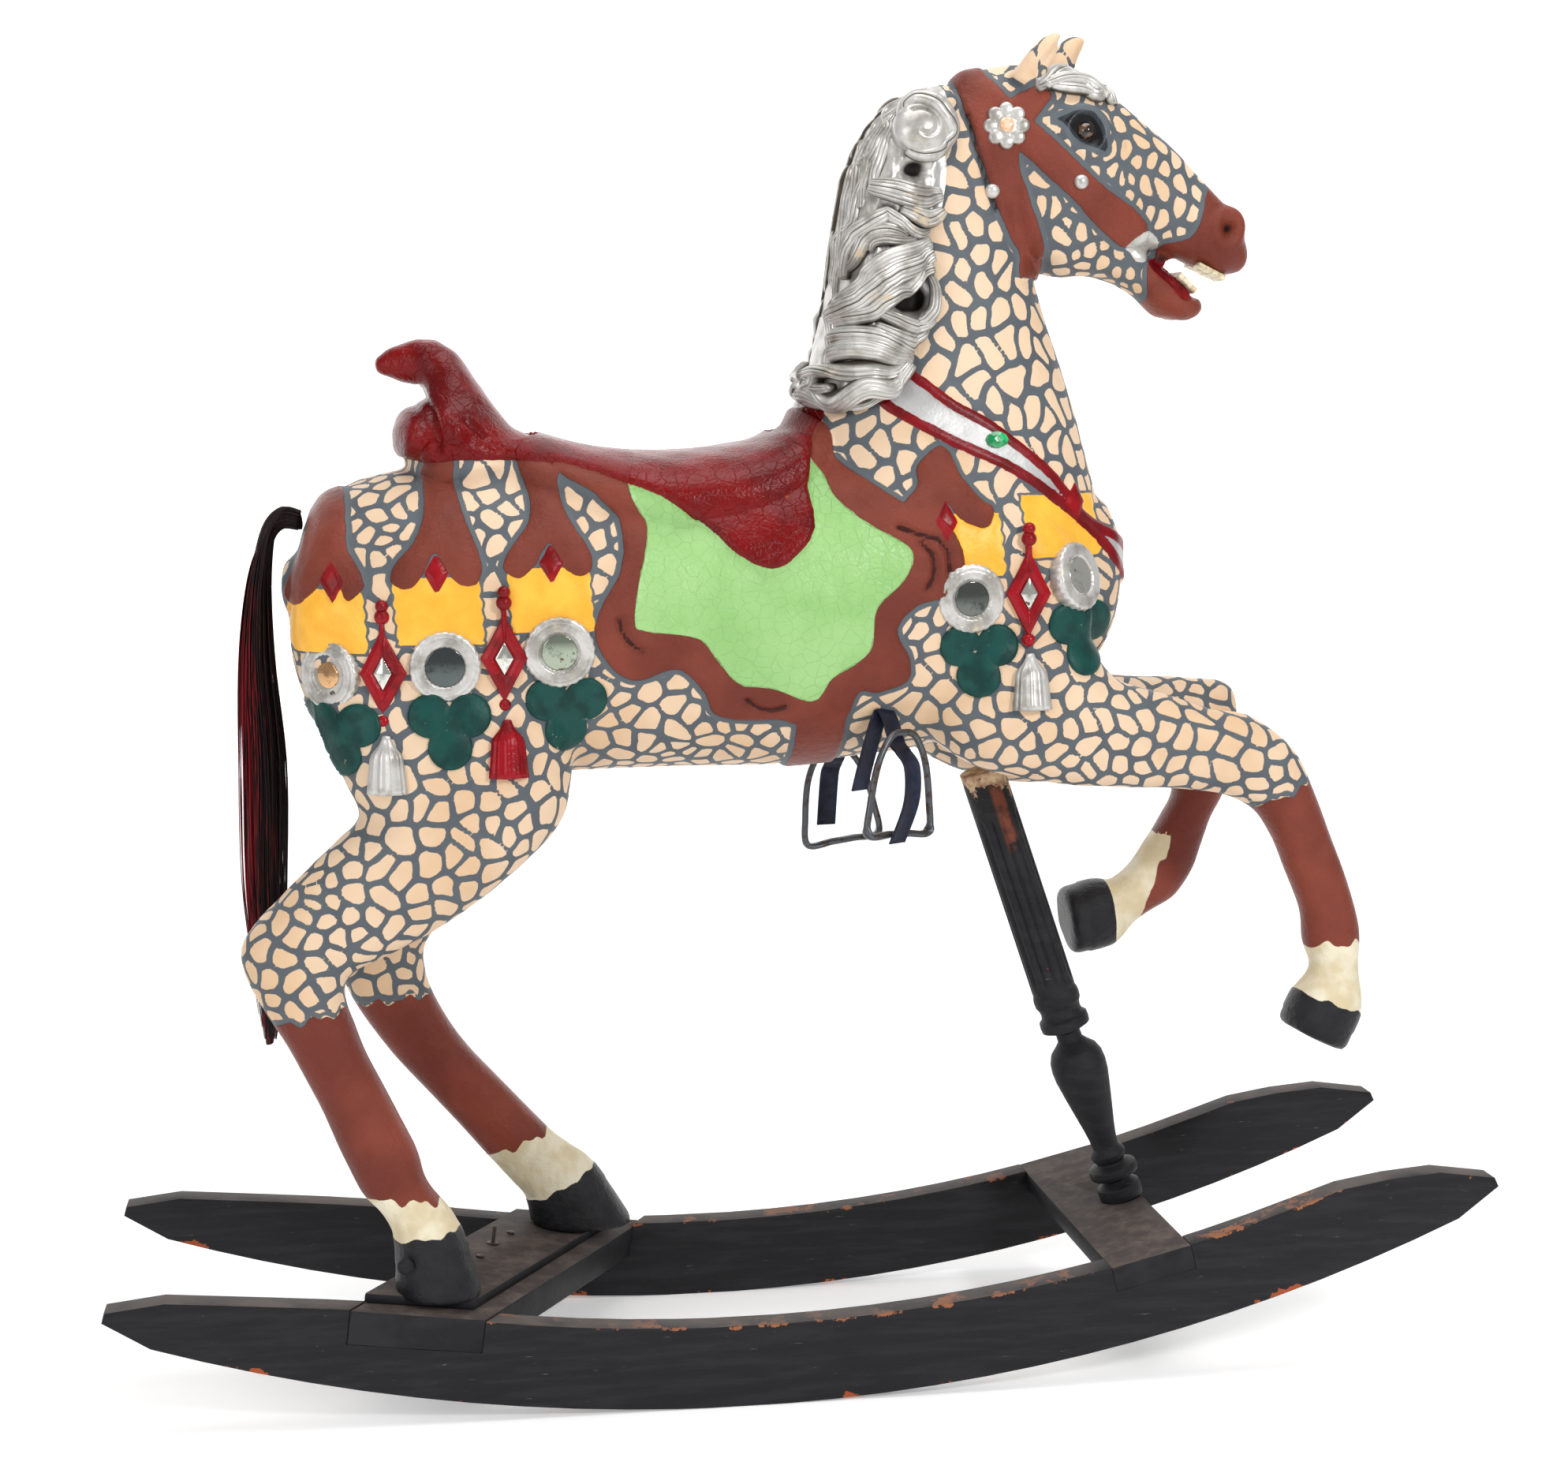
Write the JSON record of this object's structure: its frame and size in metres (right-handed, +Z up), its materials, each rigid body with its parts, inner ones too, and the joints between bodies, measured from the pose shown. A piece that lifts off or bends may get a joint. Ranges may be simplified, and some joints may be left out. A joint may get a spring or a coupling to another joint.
{
  "type": "wooden rocking horse",
  "caption": "Carved and painted wooden rocking horse with saddle, mirrors, jewels, real hair tail and stirrups, on two curved rockers with crossbars and a turned post.",
  "frame": {"origin": "on the floor, at the middle of the rockers' length and width", "axes": "+X towards the horse's head, along the rockers; +Y towards the horse's left side; +Z up"},
  "size_m": [1.6528, 0.446, 1.596],
  "materials": {
    "painted_wood": "hand-painted carved wood: cream with a grey net, brown, dark red, green, orange and silver, satin to glossy",
    "black_paint": "worn satin black paint, bare wood showing at chipped edges",
    "dusty_black_paint": "worn dusty black-brown paint",
    "mirror": "small old mirrors, slightly clouded",
    "eye_glass": "glossy brown glass",
    "peach_glass": "glossy peach glass",
    "green_glass": "glossy green glass",
    "stirrup_iron": "dull grey iron",
    "strap_leather": "worn navy-black leather",
    "horsehair": "dark horsehair with dyed red strands",
    "screw_steel": "dark tarnished steel"
  },
  "bodies": {
    "root": {"horse_body": "painted_wood", "ring_mirror_right_1": "mirror", "ring_mirror_right_2": "mirror", "ring_mirror_right_3": "mirror", "ring_mirror_right_4": "mirror", "ring_mirror_right_5": "mirror", "diamond_mirror_right_1": "mirror", "diamond_mirror_right_2": "mirror", "diamond_mirror_right_3": "mirror", "ring_mirror_left_1": "mirror", "ring_mirror_left_2": "mirror", "ring_mirror_left_3": "mirror", "ring_mirror_left_4": "mirror", "ring_mirror_left_5": "mirror", "diamond_mirror_left_1": "mirror", "diamond_mirror_left_2": "mirror", "diamond_mirror_left_3": "mirror", "glass_eye_right": "eye_glass", "bridle_jewel_right": "peach_glass", "breast_jewel_right": "green_glass", "stirrup_iron_right": "stirrup_iron", "stirrup_leather_right": "strap_leather", "rocker_right": "black_paint", "glass_eye_left": "eye_glass", "bridle_jewel_left": "peach_glass", "breast_jewel_left": "green_glass", "stirrup_iron_left": "stirrup_iron", "stirrup_leather_left": "strap_leather", "rocker_left": "black_paint", "tail": "horsehair", "front_crossbar": "dusty_black_paint", "rear_crossbar": "dusty_black_paint", "hoof_plate": "dusty_black_paint", "post": "black_paint", "plate_screw_standing": "screw_steel", "plate_screw_near": "screw_steel", "plate_screw_far": "screw_steel"}
  },
  "joints": []
}
